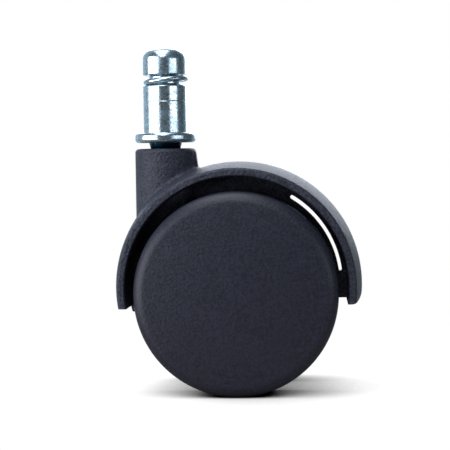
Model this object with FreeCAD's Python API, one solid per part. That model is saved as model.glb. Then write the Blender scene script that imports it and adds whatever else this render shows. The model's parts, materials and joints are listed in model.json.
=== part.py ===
"""Twin-wheel hooded chair caster with a grip-ring stem.

Millimetres, +Z up. The origin is on the swivel axis, at the top face of the stem's collar, which is
the face that the chair leg rests on. The wheels trail towards +X and the axle runs along Y.
"""

import FreeCAD, Part
import math
import os

from FreeCAD import Vector

# Overall layout
WHEEL_DIAMETER = 50.0
WHEEL_WIDTH = 15.5              # inner rim edge to the top of the domed face
TRAIL = 18.45                   # swivel axis to axle, along X
BARREL_SHOW = 3.54              # top of the barrel above the top of the hood

# Wheel rim, disc, hub and ribs
RIM_WALL = 2.2
RIM_CORNER = 0.6                # rounding of the inner rim edge
DISC_DEPTH = 1.6                # inner rim edge to the disc
DISC_WALL = 1.6
HUB_WALL = 1.94
HUB_PROUD = 0.5                 # hub past the ribs, under the cover
RIB_COUNT = 8
RIB_WALL = 1.6
RIB_RECESS = 0.5                # ribs stop this far inside the inner rim edge
RIB_COVER_GAP = 0.8             # ribs to the cover's lip
RIB_ROOT = 0.5                  # ribs run this far into hub and rim

# Wheel cover
DOME_RADIUS = 270.0
FACE_ROUNDING = 3.0             # domed face to tread
COVER_WALL = 1.8
COVER_SKIRT = 1.3               # tread part of the cover, past the rounding
COVER_SPIGOT = 2.0              # lip that snaps inside the rim
COVER_SPIGOT_WALL = 1.2
COVER_GAP = 0.03                # lip inside the rim

# Axle, bushes, washers and push-on retainers
AXLE_DIAMETER = 6.0
AXLE_END = 2.0                  # axle past each retainer
AXLE_CHAMFER = 0.5
PRESS_GAP = 0.01                # pressed pieces, drawn just free of each other
BUSH_WALL = 1.2
BUSH_RUNNING_GAP = 0.05
WASHER_RIM = 2.5                # washer past the axle, all round
WASHER_THICKNESS = 0.6
WASHER_BORE_GAP = 0.1
END_PLAY = 0.2                  # wheel to washer, and wheel to retainer
RETAINER_RIM = 2.0              # retainer past the axle, all round
RETAINER_THICKNESS = 0.5
RETAINER_TEETH = 6
RETAINER_TOOTH_GAP = 0.8        # width of the cuts between the teeth
RETAINER_CUT_REACH = 1.1        # depth of those cuts past the axle

# Hood
HOOD_RISE = 1.31                # centre of the hood above the axle
HOOD_SETBACK = 5.5              # edge of the hood behind the wheel's domed face
HOOD_CLEARANCE = 2.5            # wheel radius to the hood's inner edge
HOOD_EDGE_WALL = 1.85
HOOD_CROWN = 1.6                # middle of the hood above its edges, outside
HOOD_DRAFT = 0.2                # middle of the hood below its edges, inside
HOOD_EDGE_ROUNDING = 0.8
HOOD_INNER_EDGE = 0.25          # bevel of the inner edges
FRONT_END_DROP = 4.15           # ends of the hood below its centre
REAR_END_DROP = 4.9
FRONT_END_ROUNDING = 3.0
REAR_END_ROUNDING = 1.5
TRIM_SPARE = 0.02               # outline that trims the hood's ends, outside the crown

# Web between the wheels, and the boss in it
WEB_THICKNESS = 3.0
WEB_FRONT_DROP = 3.8            # lower edges of the web below the hood's centre
WEB_REAR_DROP = 5.4
NUB_DROP = 7.0
NUB_REACH = 0.04                # nub to the hood's inner edge, at the rear
NUB_ROUNDING = 0.5
NUB_SLOPE = 0.38                # lean of the nub's outer side
BOSS_WALL = 4.0
BOSS_FOOT_ROUNDING = 0.8
SLOT_OUTER_GAP = 1.37           # slot to the hood's inner edge radius
SLOT_START_WIDTH = 0.77
SLOT_END_WIDTH = 1.02
SLOT_START = 7.3                # degrees above +X, about the hood's centre
SLOT_END = 57.9

# Barrel for the swivel pin
BARREL_WALL = 2.89
BARREL_FLAT_WALL = 0.94         # bore to the flats beside the wheels
BARREL_TOP_GAP = 1.5            # collar to barrel
BARREL_TOP_ROUNDING = 1.0
BARREL_FLOOR = 3.0
BARREL_WHEEL_GAP = 0.7          # flats to the inner rims of the wheels
BARREL_TREAD_GAP = 1.2          # barrel to the treads
BLEND = 1.2                     # barrel to hood
FLANK_RIB_WIDTH = 2.4
FLANK_RIB_HEIGHT = 0.6

# Stem
STEM_DIAMETER = 11.0
SHANK_LENGTH = 11.95
HEAD_LENGTH = 6.5
HEAD_ROUNDING = 2.6
GROOVE_DEPTH = 1.6
GROOVE_FLANK = 0.35             # slope of the groove's sides, along the stem
GROOVE_ROUNDING = 0.3
COLLAR_RIM = 2.2                # collar past the shank, all round
COLLAR_THICKNESS = 2.5
COLLAR_ROUNDING = 0.9
NECK_RIM = 0.4                  # neck past the pin, all round, under the collar
PIN_DIAMETER = 7.6
PIN_LENGTH = 23.5               # below the collar
PIN_CHAMFER = 0.6
CLIP_GROOVE_DEPTH = 0.6
CLIP_GROOVE_WIDTH = 1.1
CLIP_GROOVE_END = 2.6           # pin end to the clip groove

# Grip ring
RING_PROUD = 0.25               # ring past the shank, all round, when it is centred
RING_WIRE = 1.4
RING_TILT = 5.5                 # degrees, its +X side high
RING_REST_GAP = 0.1             # ring to the bottom of its groove, at -X
RING_PLAY = 0.216               # ring to the ends of its groove, at its tilt
RING_OPENING = 38.0             # degrees left open, at the back of the stem

# Sleeve, clip and thrust disc inside the barrel
SLEEVE_WALL = 1.0
SLEEVE_RUNNING_GAP = 0.05
SLEEVE_TOP_GAP = 0.6            # below the barrel's top
SLEEVE_CLIP_GAP = 0.25
CLIP_THICKNESS = 0.9
CLIP_WALL = 1.15
CLIP_GAP = 0.03                 # clip around its groove
CLIP_OPENING = 60.0             # degrees left open
DISC_THICKNESS = 1.0
DISC_SIDE_GAP = 0.2

# Worked out: stem, pin and barrel
STEM_RADIUS = STEM_DIAMETER / 2
COLLAR_RADIUS = STEM_RADIUS + COLLAR_RIM
GROOVE_RADIUS = STEM_RADIUS - GROOVE_DEPTH
RING_RADIUS = STEM_RADIUS + RING_PROUD - RING_WIRE / 2
RING_SHIFT = RING_RADIUS - RING_WIRE / 2 - GROOVE_RADIUS - RING_REST_GAP
RING_HEIGHT = RING_WIRE + 2 * RING_RADIUS * math.sin(math.radians(RING_TILT))
GROOVE_LENGTH = RING_HEIGHT + 2 * RING_PLAY
GROOVE_END = SHANK_LENGTH + GROOVE_LENGTH
STEM_HEIGHT = GROOVE_END + HEAD_LENGTH
PIN_RADIUS = PIN_DIAMETER / 2
PIN_END = -COLLAR_THICKNESS - PIN_LENGTH
CLIP_GROOVE_RADIUS = PIN_RADIUS - CLIP_GROOVE_DEPTH
CLIP_GROOVE_LOW = PIN_END + CLIP_GROOVE_END
CLIP_GROOVE_TOP = CLIP_GROOVE_LOW + CLIP_GROOVE_WIDTH
SLEEVE_BORE = PIN_RADIUS + SLEEVE_RUNNING_GAP
SLEEVE_RADIUS = SLEEVE_BORE + SLEEVE_WALL
BARREL_BORE = SLEEVE_RADIUS + PRESS_GAP
BARREL_RADIUS = BARREL_BORE + BARREL_WALL
BARREL_HALF = BARREL_BORE + BARREL_FLAT_WALL
BARREL_TOP = -COLLAR_THICKNESS - BARREL_TOP_GAP
BORE_END = PIN_END - DISC_THICKNESS

# Worked out: wheels and axle
WHEEL_RADIUS = WHEEL_DIAMETER / 2
RIM_EDGE = BARREL_HALF + BARREL_WHEEL_GAP
RIM_INNER_RADIUS = WHEEL_RADIUS - RIM_WALL
FACE_TOP = RIM_EDGE + WHEEL_WIDTH
DOME_CENTRE = FACE_TOP - DOME_RADIUS
ROUNDING_RUN = WHEEL_RADIUS - FACE_ROUNDING
TREAD_END = DOME_CENTRE + math.sqrt((DOME_RADIUS - FACE_ROUNDING) ** 2 - ROUNDING_RUN ** 2)
SEAM = TREAD_END - COVER_SKIRT
RIB_END = SEAM - COVER_SPIGOT - RIB_COVER_GAP
HUB_END = RIB_END + HUB_PROUD
AXLE_RADIUS = AXLE_DIAMETER / 2
BUSH_BORE = AXLE_RADIUS + BUSH_RUNNING_GAP
BUSH_RADIUS = BUSH_BORE + BUSH_WALL
HUB_BORE = BUSH_RADIUS + PRESS_GAP
HUB_RADIUS = HUB_BORE + HUB_WALL
WASHER_TOP = RIM_EDGE - END_PLAY
BOSS_HALF = WASHER_TOP - WASHER_THICKNESS
BOSS_RADIUS = AXLE_RADIUS + BOSS_WALL
RETAINER_START = HUB_END + END_PLAY
AXLE_HALF = RETAINER_START + RETAINER_THICKNESS + AXLE_END

# Worked out: hood, and where its centre and the axle are
HOOD_HALF_WIDTH = FACE_TOP - HOOD_SETBACK
HOOD_INNER_RADIUS = WHEEL_RADIUS + HOOD_CLEARANCE
HOOD_OUTER_RADIUS = HOOD_INNER_RADIUS + HOOD_EDGE_WALL
CROWN_RADIUS = HOOD_OUTER_RADIUS + HOOD_CROWN
HOOD = Vector(TRAIL, 0, BARREL_TOP - BARREL_SHOW - CROWN_RADIUS)
AXLE = HOOD - Vector(0, 0, HOOD_RISE)

Y_AXIS = Vector(0, 1, 0)
Z_AXIS = Vector(0, 0, 1)


# Outlines and simple solids

def rounded_face(corners, place):
    """Face inside the corners (u, v, radius); place(u, v) puts each point in space."""
    points = [Vector(u, v, 0) for u, v, radius in corners]
    edges = []
    joints = []
    for i, here in enumerate(points):
        radius = corners[i][2]
        back = (points[i - 1] - here).normalize()
        ahead = (points[(i + 1) % len(points)] - here).normalize()
        half = back.getAngle(ahead) / 2
        reach = radius / math.tan(half)
        start = here + back * reach
        end = here + ahead * reach
        middle = here + (back + ahead).normalize() * (radius / math.sin(half) - radius)
        joints.append((start, middle, end, radius))
    for i, (start, middle, end, radius) in enumerate(joints):
        a, b, c = (place(p.x, p.y) for p in (start, middle, end))
        if radius > 0:
            edges.append(Part.Arc(a, b, c).toShape())
        following = joints[(i + 1) % len(joints)][0]
        d = place(following.x, following.y)
        if c.distanceToPoint(d) > 1e-6:
            edges.append(Part.LineSegment(c, d).toShape())
    return Part.Face(Part.Wire(edges))


def traced_face(start, *steps):
    """Face inside a path of steps: a point for a line, a (middle, end) pair for an arc."""
    edges = []
    here = start
    for step in steps + (start,):
        if isinstance(step, tuple):
            middle, end = step
            edges.append(Part.Arc(here, middle, end).toShape())
        else:
            end = step
            if here.distanceToPoint(end) > 1e-6:
                edges.append(Part.LineSegment(here, end).toShape())
        here = end
    return Part.Face(Part.Wire(edges))


def corner_blend(radius, edge, blend):
    """Blend between a circle about (0, 0) and the line at u = edge, inside both.

    Returns its three points (u, v): on the line, in the middle and on the circle.
    """
    u = edge - blend
    v = math.sqrt((radius - blend) ** 2 - u ** 2)
    centre = Vector(u, v, 0)
    outward = Vector(centre).normalize()
    on_line = centre + Vector(blend, 0, 0)
    on_circle = centre + outward * blend
    middle = centre + (outward + Vector(1, 0, 0)).normalize() * blend
    return on_line, middle, on_circle


def about_stem(u, v):
    return Vector(u, 0, v)


def about_axle(side):
    """Place (radius, distance along the axle) on the wheel at that side."""
    return lambda u, v: AXLE + Vector(u, side * v, 0)


def spin(face, centre, axis):
    """Full turn of a face, as one solid."""
    solid = face.revolve(centre, axis, 360)
    if solid.Volume < 0:
        solid.reverse()
    return solid


def ring_about_axle(inner, outer, start, end, side):
    """Plain ring about the axle."""
    corners = [(inner, start, 0), (outer, start, 0), (outer, end, 0), (inner, end, 0)]
    return spin(rounded_face(corners, about_axle(side)), AXLE, Y_AXIS)


def upright(radius, low, high):
    """Upright cylinder on the swivel axis."""
    return Part.makeCylinder(radius, high - low, Vector(0, 0, low))


def bar_along_y(radius, half, centre):
    """Cylinder along Y, centred."""
    return Part.makeCylinder(radius, 2 * half, centre - Y_AXIS * half, Y_AXIS)


def slab(low, high):
    """Box between two corners."""
    size = high - low
    return Part.makeBox(size.x, size.y, size.z, low)


# Housing: barrel, hood, web and axle boss in one moulding

def hood_shell():
    """Crowned half ring over both wheels, cut level at its two ends."""
    bulge = (HOOD_HALF_WIDTH ** 2 + HOOD_CROWN ** 2) / (2 * HOOD_CROWN)
    centre = CROWN_RADIUS - bulge
    edge, middle, crown = corner_blend(bulge, HOOD_HALF_WIDTH, HOOD_EDGE_ROUNDING)

    def place(radius, y):
        return HOOD + Vector(radius, y, 0)

    bevel = HOOD_INNER_EDGE
    face = traced_face(
        place(HOOD_INNER_RADIUS, bevel - HOOD_HALF_WIDTH),
        place(HOOD_INNER_RADIUS - HOOD_DRAFT, 0),
        place(HOOD_INNER_RADIUS, HOOD_HALF_WIDTH - bevel),
        place(HOOD_INNER_RADIUS + bevel, HOOD_HALF_WIDTH),
        place(centre + edge.y, edge.x),
        (place(centre + middle.y, middle.x), place(centre + crown.y, crown.x)),
        (place(CROWN_RADIUS, 0), place(centre + crown.y, -crown.x)),
        (place(centre + middle.y, -middle.x), place(centre + edge.y, -edge.x)),
        place(HOOD_INNER_RADIUS + bevel, -HOOD_HALF_WIDTH),
    )
    return spin(face, HOOD, Y_AXIS).common(hood_outline())


def hood_outline():
    """Side outline of the hood, with its rounded ends, as a block across the whole width."""
    radius = CROWN_RADIUS + TRIM_SPARE
    front = corner_blend(radius, FRONT_END_DROP, FRONT_END_ROUNDING)
    rear = corner_blend(radius, REAR_END_DROP, REAR_END_ROUNDING)
    width = 2 * HOOD_HALF_WIDTH + 2
    low = HOOD - Y_AXIS * width / 2
    face = traced_face(
        low + Vector(0, 0, -REAR_END_DROP),
        low + Vector(0, 0, -FRONT_END_DROP),
        low + Vector(front[0].y, 0, -front[0].x),
        (low + Vector(front[1].y, 0, -front[1].x), low + Vector(front[2].y, 0, -front[2].x)),
        (low + Vector(0, 0, radius), low + Vector(-rear[2].y, 0, -rear[2].x)),
        (low + Vector(-rear[1].y, 0, -rear[1].x), low + Vector(-rear[0].y, 0, -rear[0].x)),
    )
    return face.extrude(Y_AXIS * width)


def barrel():
    """Post around the swivel pin, flat beside the wheels and hollowed around the treads."""
    low = BORE_END - BARREL_FLOOR
    corners = [
        (0, low, 0),
        (BARREL_RADIUS, low, 0),
        (BARREL_RADIUS, BARREL_TOP, BARREL_TOP_ROUNDING),
        (0, BARREL_TOP, 0),
    ]
    post = spin(rounded_face(corners, about_stem), Vector(), Z_AXIS)
    radius = WHEEL_RADIUS + BARREL_TREAD_GAP
    for side in (-1, 1):
        outward = Y_AXIS * side
        post = post.cut(Part.makeCylinder(radius, BARREL_RADIUS, AXLE + outward * BARREL_HALF, outward))
    return post


def flank_rib():
    """Slim rib down the barrel's side above the hood, widest at its foot."""
    side = BARREL_RADIUS
    run = side - TRAIL
    foot = HOOD.z + math.sqrt(CROWN_RADIUS ** 2 - run ** 2)
    half = FLANK_RIB_WIDTH / 2
    face = traced_face(
        Vector(side - 1, -half, foot - 1),
        Vector(side - 1, -half, BARREL_TOP - BARREL_TOP_ROUNDING),
        Vector(side, -half, BARREL_TOP - BARREL_TOP_ROUNDING),
        Vector(side + FLANK_RIB_HEIGHT, -half, foot),
        Vector(side + FLANK_RIB_HEIGHT, -half, foot - 1),
    )
    return face.extrude(Y_AXIS * FLANK_RIB_WIDTH)


def web():
    """Plate between the wheels, from the hood down to the axle boss."""
    reach = HOOD_INNER_RADIUS + HOOD_EDGE_WALL / 2
    nub = NUB_REACH - HOOD_INNER_RADIUS
    notch = nub - NUB_SLOPE
    boss = BOSS_RADIUS
    foot = -HOOD_RISE
    corners = [
        (reach, reach, 0),
        (reach, -WEB_FRONT_DROP, 0),
        (boss, -WEB_FRONT_DROP, BOSS_FOOT_ROUNDING),
        (boss / 2, foot - boss * 0.9, 0),
        (-boss / 2, foot - boss * 0.9, 0),
        (-boss, -NUB_DROP, BOSS_FOOT_ROUNDING),
        (nub, -NUB_DROP, NUB_ROUNDING),
        (notch, -WEB_REAR_DROP, 0),
        (-reach, -WEB_REAR_DROP, 0),
        (-reach, reach, 0),
    ]
    half = Y_AXIS * WEB_THICKNESS / 2
    plate = rounded_face(corners, lambda u, v: HOOD - half + Vector(u, 0, v))
    plate = plate.extrude(Y_AXIS * WEB_THICKNESS)
    return plate.common(bar_along_y(reach, WEB_THICKNESS, HOOD))


def slot():
    """Curved slot through the web, close under the hood, with round ends."""
    outer = HOOD_INNER_RADIUS - SLOT_OUTER_GAP
    depth = WEB_THICKNESS + 2

    def spot(width, degrees):
        radius = outer - width
        turn = math.radians(degrees)
        return HOOD + Vector(radius * math.cos(turn), -depth / 2, radius * math.sin(turn))

    def cap(width):
        return math.degrees(width / 2 / outer)

    low = SLOT_START_WIDTH
    high = SLOT_END_WIDTH
    half_way = (SLOT_START + SLOT_END) / 2
    face = traced_face(
        spot(low, SLOT_START),
        (spot(low / 2, SLOT_START - cap(low)), spot(0, SLOT_START)),
        (spot(0, half_way), spot(0, SLOT_END)),
        (spot(high / 2, SLOT_END + cap(high)), spot(high, SLOT_END)),
        (spot((low + high) / 2, half_way), spot(low, SLOT_START)),
    )
    return face.extrude(Y_AXIS * depth)


def blend_edges(body):
    """Edges where the barrel meets the outside of the hood."""
    found = []
    for edge in body.Edges:
        first, last = edge.ParameterRange
        spots = [edge.valueAt(t) for t in (first, (first + last) / 2, last)]
        on_barrel = all(abs(math.hypot(p.x, p.y) - BARREL_RADIUS) < 0.01 for p in spots)
        from_hood = [Vector(p.x - HOOD.x, 0, p.z - HOOD.z).Length for p in spots]
        outside = all(r > HOOD_OUTER_RADIUS for r in from_hood)
        below_top = all(p.z < BARREL_TOP - BARREL_TOP_ROUNDING - 0.1 for p in spots)
        if on_barrel and outside and below_top:
            found.append(edge)
    return found


def housing():
    """The whole moulding, with its bores."""
    body = hood_shell().fuse(barrel())
    body = body.makeFillet(BLEND, blend_edges(body))
    body = body.fuse([flank_rib(), web(), bar_along_y(BOSS_RADIUS, BOSS_HALF, AXLE)])
    cuts = [
        upright(BARREL_BORE, BORE_END, 0),
        bar_along_y(AXLE_RADIUS + PRESS_GAP, 2 * BOSS_HALF, AXLE),
        slot(),
    ]
    return body.cut(cuts).removeSplitter()


# Stem and what goes with it

def stem():
    """Grip-ring stem, collar and swivel pin, turned from one bar."""
    collar = COLLAR_RADIUS
    clip = CLIP_GROOVE_RADIUS
    groove = GROOVE_RADIUS
    flank = GROOVE_FLANK
    corners = [
        (0, PIN_END, 0),
        (PIN_RADIUS - PIN_CHAMFER, PIN_END, 0),
        (PIN_RADIUS, PIN_END + PIN_CHAMFER, 0),
        (PIN_RADIUS, CLIP_GROOVE_LOW, 0),
        (clip, CLIP_GROOVE_LOW, 0),
        (clip, CLIP_GROOVE_TOP, 0),
        (PIN_RADIUS, CLIP_GROOVE_TOP, 0),
        (PIN_RADIUS, BARREL_TOP, 0),
        (PIN_RADIUS + NECK_RIM, -COLLAR_THICKNESS, 0),
        (collar, -COLLAR_THICKNESS, COLLAR_ROUNDING),
        (collar, 0, COLLAR_ROUNDING),
        (STEM_RADIUS, 0, 0),
        (STEM_RADIUS, SHANK_LENGTH, GROOVE_ROUNDING),
        (groove, SHANK_LENGTH + flank, GROOVE_ROUNDING),
        (groove, GROOVE_END - flank, GROOVE_ROUNDING),
        (STEM_RADIUS, GROOVE_END, GROOVE_ROUNDING),
        (STEM_RADIUS, STEM_HEIGHT, HEAD_ROUNDING),
        (0, STEM_HEIGHT, 0),
    ]
    return spin(rounded_face(corners, about_stem), Vector(), Z_AXIS)


def open_ring(section, opening):
    """Ring swept round Z by a section face at +X, left open for some degrees at +Y."""
    start = section.copy()
    start.rotate(Vector(), Z_AXIS, 90 + opening / 2)
    solid = start.revolve(Vector(), Z_AXIS, 360 - opening)
    if solid.Volume < 0:
        solid.reverse()
    return solid


def grip_ring():
    """Split wire ring, resting askew in the stem's groove."""
    circle = Part.Circle(Vector(RING_RADIUS, 0, 0), Y_AXIS, RING_WIRE / 2).toShape()
    ring = open_ring(Part.Face(Part.Wire(circle)), RING_OPENING)
    ring.rotate(Vector(), Y_AXIS, -RING_TILT)
    ring.translate(Vector(RING_SHIFT, 0, (SHANK_LENGTH + GROOVE_END) / 2))
    return ring


def stem_retainer():
    """Flat open clip in the pin's groove, under the sleeve."""
    inner = CLIP_GROOVE_RADIUS + CLIP_GAP
    low = CLIP_GROOVE_LOW + (CLIP_GROOVE_WIDTH - CLIP_THICKNESS) / 2
    outer = inner + CLIP_WALL
    high = low + CLIP_THICKNESS
    corners = [(inner, low, 0), (outer, low, 0), (outer, high, 0), (inner, high, 0)]
    return open_ring(rounded_face(corners, about_stem), CLIP_OPENING)


def stem_sleeve():
    """Plain sleeve pressed into the barrel, around the pin."""
    low = CLIP_GROOVE_TOP + SLEEVE_CLIP_GAP
    high = BARREL_TOP - SLEEVE_TOP_GAP
    return upright(SLEEVE_RADIUS, low, high).cut(upright(SLEEVE_BORE, low - 1, high + 1))


def thrust_disc():
    """Steel disc at the bottom of the bore, which the pin stands on."""
    return upright(BARREL_BORE - DISC_SIDE_GAP, BORE_END, BORE_END + DISC_THICKNESS)


# Axle set

def axle():
    """Plain steel axle with bevelled ends."""
    half = AXLE_HALF
    bevel = AXLE_CHAMFER
    corners = [
        (0, -half, 0),
        (AXLE_RADIUS - bevel, -half, 0),
        (AXLE_RADIUS, bevel - half, 0),
        (AXLE_RADIUS, half - bevel, 0),
        (AXLE_RADIUS - bevel, half, 0),
        (0, half, 0),
    ]
    return spin(rounded_face(corners, about_axle(1)), AXLE, Y_AXIS)


def thrust_washer(side):
    """Washer between the boss and the wheel."""
    inner = AXLE_RADIUS + WASHER_BORE_GAP
    return ring_about_axle(inner, AXLE_RADIUS + WASHER_RIM, BOSS_HALF, WASHER_TOP, side)


def axle_retainer(side):
    """Push-on washer with teeth that grip the axle outside the hub."""
    start = RETAINER_START
    end = start + RETAINER_THICKNESS
    inner = AXLE_RADIUS + PRESS_GAP
    washer = ring_about_axle(inner, AXLE_RADIUS + RETAINER_RIM, start, end, side)
    reach = AXLE_RADIUS + RETAINER_CUT_REACH
    half = RETAINER_TOOTH_GAP / 2
    for i in range(RETAINER_TEETH):
        low = AXLE + Vector(0, min(side * start, side * end) - 1, -half)
        notch = slab(low, low + Vector(reach, RETAINER_THICKNESS + 2, 2 * half))
        notch.rotate(AXLE, Y_AXIS, 360 / RETAINER_TEETH * i)
        washer = washer.cut(notch)
    return washer


# Wheels

def face_blend(radius, edge, rounding):
    """Where a dome rounds into a straight wall: three points (radius, distance)."""
    blend = corner_blend(radius, edge, rounding)
    return [Vector(p.x, p.y + DOME_CENTRE, 0) for p in blend]


def dome_point(radius, run):
    """Point of a dome of that radius, run away from the axle."""
    return Vector(run, DOME_CENTRE + math.sqrt(radius ** 2 - run ** 2), 0)


def wheel(side):
    """Rim, disc, hub and ribs of one wheel."""
    rim = RIM_INNER_RADIUS
    disc = RIM_EDGE + DISC_DEPTH
    corners = [
        (HUB_BORE, RIM_EDGE, 0),
        (HUB_RADIUS, RIM_EDGE, 0),
        (HUB_RADIUS, disc, 0),
        (rim, disc, 0),
        (rim, RIM_EDGE, 0),
        (WHEEL_RADIUS, RIM_EDGE, RIM_CORNER),
        (WHEEL_RADIUS, SEAM, 0),
        (rim, SEAM, 0),
        (rim, disc + DISC_WALL, 0),
        (HUB_RADIUS, disc + DISC_WALL, 0),
        (HUB_RADIUS, HUB_END, 0),
        (HUB_BORE, HUB_END, 0),
    ]
    body = spin(rounded_face(corners, about_axle(side)), AXLE, Y_AXIS)
    return body.fuse(wheel_ribs(side)).removeSplitter()


def wheel_ribs(side):
    """Ribs from hub to rim, through the disc."""
    low, high = sorted((side * (RIM_EDGE + RIB_RECESS), side * RIB_END))
    ribs = []
    for i in range(RIB_COUNT):
        rib = slab(
            AXLE + Vector(HUB_RADIUS - RIB_ROOT, low, -RIB_WALL / 2),
            AXLE + Vector(RIM_INNER_RADIUS + RIB_ROOT, high, RIB_WALL / 2),
        )
        rib.rotate(AXLE, Y_AXIS, 360 / RIB_COUNT * (i + 0.5))
        ribs.append(rib)
    return ribs


def wheel_cover(side):
    """Domed face of one wheel, with a lip that snaps inside the rim."""
    place = about_axle(side)
    lip_outer = RIM_INNER_RADIUS - COVER_GAP
    lip_inner = lip_outer - COVER_SPIGOT_WALL
    lip_end = SEAM - COVER_SPIGOT
    under_radius = DOME_RADIUS - COVER_WALL
    outside = face_blend(DOME_RADIUS, WHEEL_RADIUS, FACE_ROUNDING)
    inside = face_blend(under_radius, lip_inner, FACE_ROUNDING - COVER_WALL)
    dome = dome_point(DOME_RADIUS, outside[2].x / 2)
    under = dome_point(under_radius, inside[2].x / 2)
    edge, turn, top = (place(p.x, p.y) for p in outside)
    low_edge, low_turn, low_top = (place(p.x, p.y) for p in inside)
    face = traced_face(
        place(0, FACE_TOP - COVER_WALL),
        (place(under.x, under.y), low_top),
        (low_turn, low_edge),
        place(lip_inner, lip_end),
        place(lip_outer, lip_end),
        place(lip_outer, SEAM),
        place(WHEEL_RADIUS, SEAM),
        edge,
        (turn, top),
        (place(dome.x, dome.y), place(0, FACE_TOP)),
    )
    return spin(face, AXLE, Y_AXIS)


def hub_bush(side):
    """Plain bush pressed into the hub."""
    return ring_about_axle(BUSH_BORE, BUSH_RADIUS, RIM_EDGE, HUB_END, side)


def all_pieces():
    """Every node's name and shape."""
    pieces = {
        "housing": housing(),
        "stem": stem(),
        "grip_ring": grip_ring(),
        "stem_sleeve": stem_sleeve(),
        "stem_retainer": stem_retainer(),
        "thrust_disc": thrust_disc(),
        "axle": axle(),
    }
    for name, side in (("front", -1), ("rear", 1)):
        pieces[name + "_wheel"] = wheel(side)
        pieces[name + "_wheel_cover"] = wheel_cover(side)
        pieces[name + "_hub_bush"] = hub_bush(side)
        pieces[name + "_thrust_washer"] = thrust_washer(side)
        pieces[name + "_axle_retainer"] = axle_retainer(side)
    return pieces


os.makedirs("parts", exist_ok=True)
for name, shape in all_pieces().items():
    shape.exportStep(os.path.join("parts", name + ".step"))
    box = shape.BoundBox
    print(
        f"{name:22s} solids {len(shape.Solids)} valid {shape.isValid()} volume {shape.Volume:9.2f}"
        f"  x {box.XMin:7.2f} {box.XMax:7.2f}  y {box.YMin:7.2f} {box.YMax:7.2f}"
        f"  z {box.ZMin:7.2f} {box.ZMax:7.2f}"
    )
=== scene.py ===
"""Looks of a twin-wheel chair caster: turned and moulded pieces, their finishes and a plain studio.

Everything is in metres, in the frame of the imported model: the origin is on the swivel axis at the
stem's seat, +Z is up and the axle runs along Y.
"""

import json
import math

import bpy
import numpy as np
from bpy.props import FloatProperty, FloatVectorProperty, IntProperty, PointerProperty
from mathutils import Matrix, Vector


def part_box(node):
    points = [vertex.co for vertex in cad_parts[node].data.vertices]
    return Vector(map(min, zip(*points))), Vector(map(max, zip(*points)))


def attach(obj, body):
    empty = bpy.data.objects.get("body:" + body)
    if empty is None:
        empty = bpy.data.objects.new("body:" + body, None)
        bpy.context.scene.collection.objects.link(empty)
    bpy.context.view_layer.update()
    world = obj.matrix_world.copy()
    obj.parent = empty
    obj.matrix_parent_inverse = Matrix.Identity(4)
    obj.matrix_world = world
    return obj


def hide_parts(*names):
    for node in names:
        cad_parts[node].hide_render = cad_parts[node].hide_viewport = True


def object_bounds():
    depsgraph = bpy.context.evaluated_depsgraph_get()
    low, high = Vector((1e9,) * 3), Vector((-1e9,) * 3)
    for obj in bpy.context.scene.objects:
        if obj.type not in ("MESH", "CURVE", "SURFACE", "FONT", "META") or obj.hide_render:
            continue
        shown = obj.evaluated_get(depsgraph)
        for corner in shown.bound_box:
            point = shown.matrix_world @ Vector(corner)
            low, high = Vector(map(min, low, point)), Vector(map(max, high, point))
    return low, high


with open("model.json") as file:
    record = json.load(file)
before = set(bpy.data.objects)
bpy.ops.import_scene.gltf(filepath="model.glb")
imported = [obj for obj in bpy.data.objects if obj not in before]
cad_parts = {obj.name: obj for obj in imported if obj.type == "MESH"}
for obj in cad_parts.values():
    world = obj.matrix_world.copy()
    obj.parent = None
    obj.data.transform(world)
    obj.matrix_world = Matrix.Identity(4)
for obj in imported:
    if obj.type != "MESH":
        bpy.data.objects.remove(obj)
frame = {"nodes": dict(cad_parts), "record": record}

bl_info = {
    "name": "Chair Caster",
    "version": (1, 0, 0),
    "blender": (4, 5, 0),
    "location": "View3D > Sidebar > Caster",
    "description": "Builds the looks of a twin-wheel chair caster around its packed model",
    "category": "Add Mesh",
}

CAD_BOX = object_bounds()
JOINTS = {joint["name"]: joint for joint in frame["record"]["behaviour"]["joints"]}
MOUNTS = {mount["name"]: mount for mount in frame["record"]["mounts"]}
AXLE = np.array(JOINTS["front_wheel_spin"]["pos_m"])
RING_PIVOT = np.array(JOINTS["grip_ring_float"]["pos_m"])
STEM_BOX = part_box("stem")
CLIP_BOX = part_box("stem_retainer")
COVER_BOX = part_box("rear_wheel_cover")
RING_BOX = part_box("grip_ring")
WHEEL_RADIUS = (COVER_BOX[1][2] - COVER_BOX[0][2]) / 2


# Sizes and colours that a user would change

def length(name, description, default):
    """Length property in metres."""
    return FloatProperty(
        name=name, description=description, default=default, precision=6, unit="LENGTH"
    )


def colour(name, description, default):
    """Linear colour property."""
    return FloatVectorProperty(
        name=name, description=description, default=default, subtype="COLOR", min=0, max=1
    )


def share(name, description, default):
    """Share from 0 to 1."""
    return FloatProperty(
        name=name, description=description, default=default, min=0, max=1, subtype="FACTOR"
    )


def angle(name, description, degrees):
    """Angle property, whose default is given in degrees."""
    return FloatProperty(
        name=name, description=description, default=math.radians(degrees), unit="ROTATION"
    )


def brightness(name, description, default):
    """Radiance of a light."""
    return FloatProperty(name=name, description=description, default=default, min=0)


def count(name, description, default):
    """Whole number of faces."""
    return IntProperty(name=name, description=description, default=default, min=3)


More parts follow.
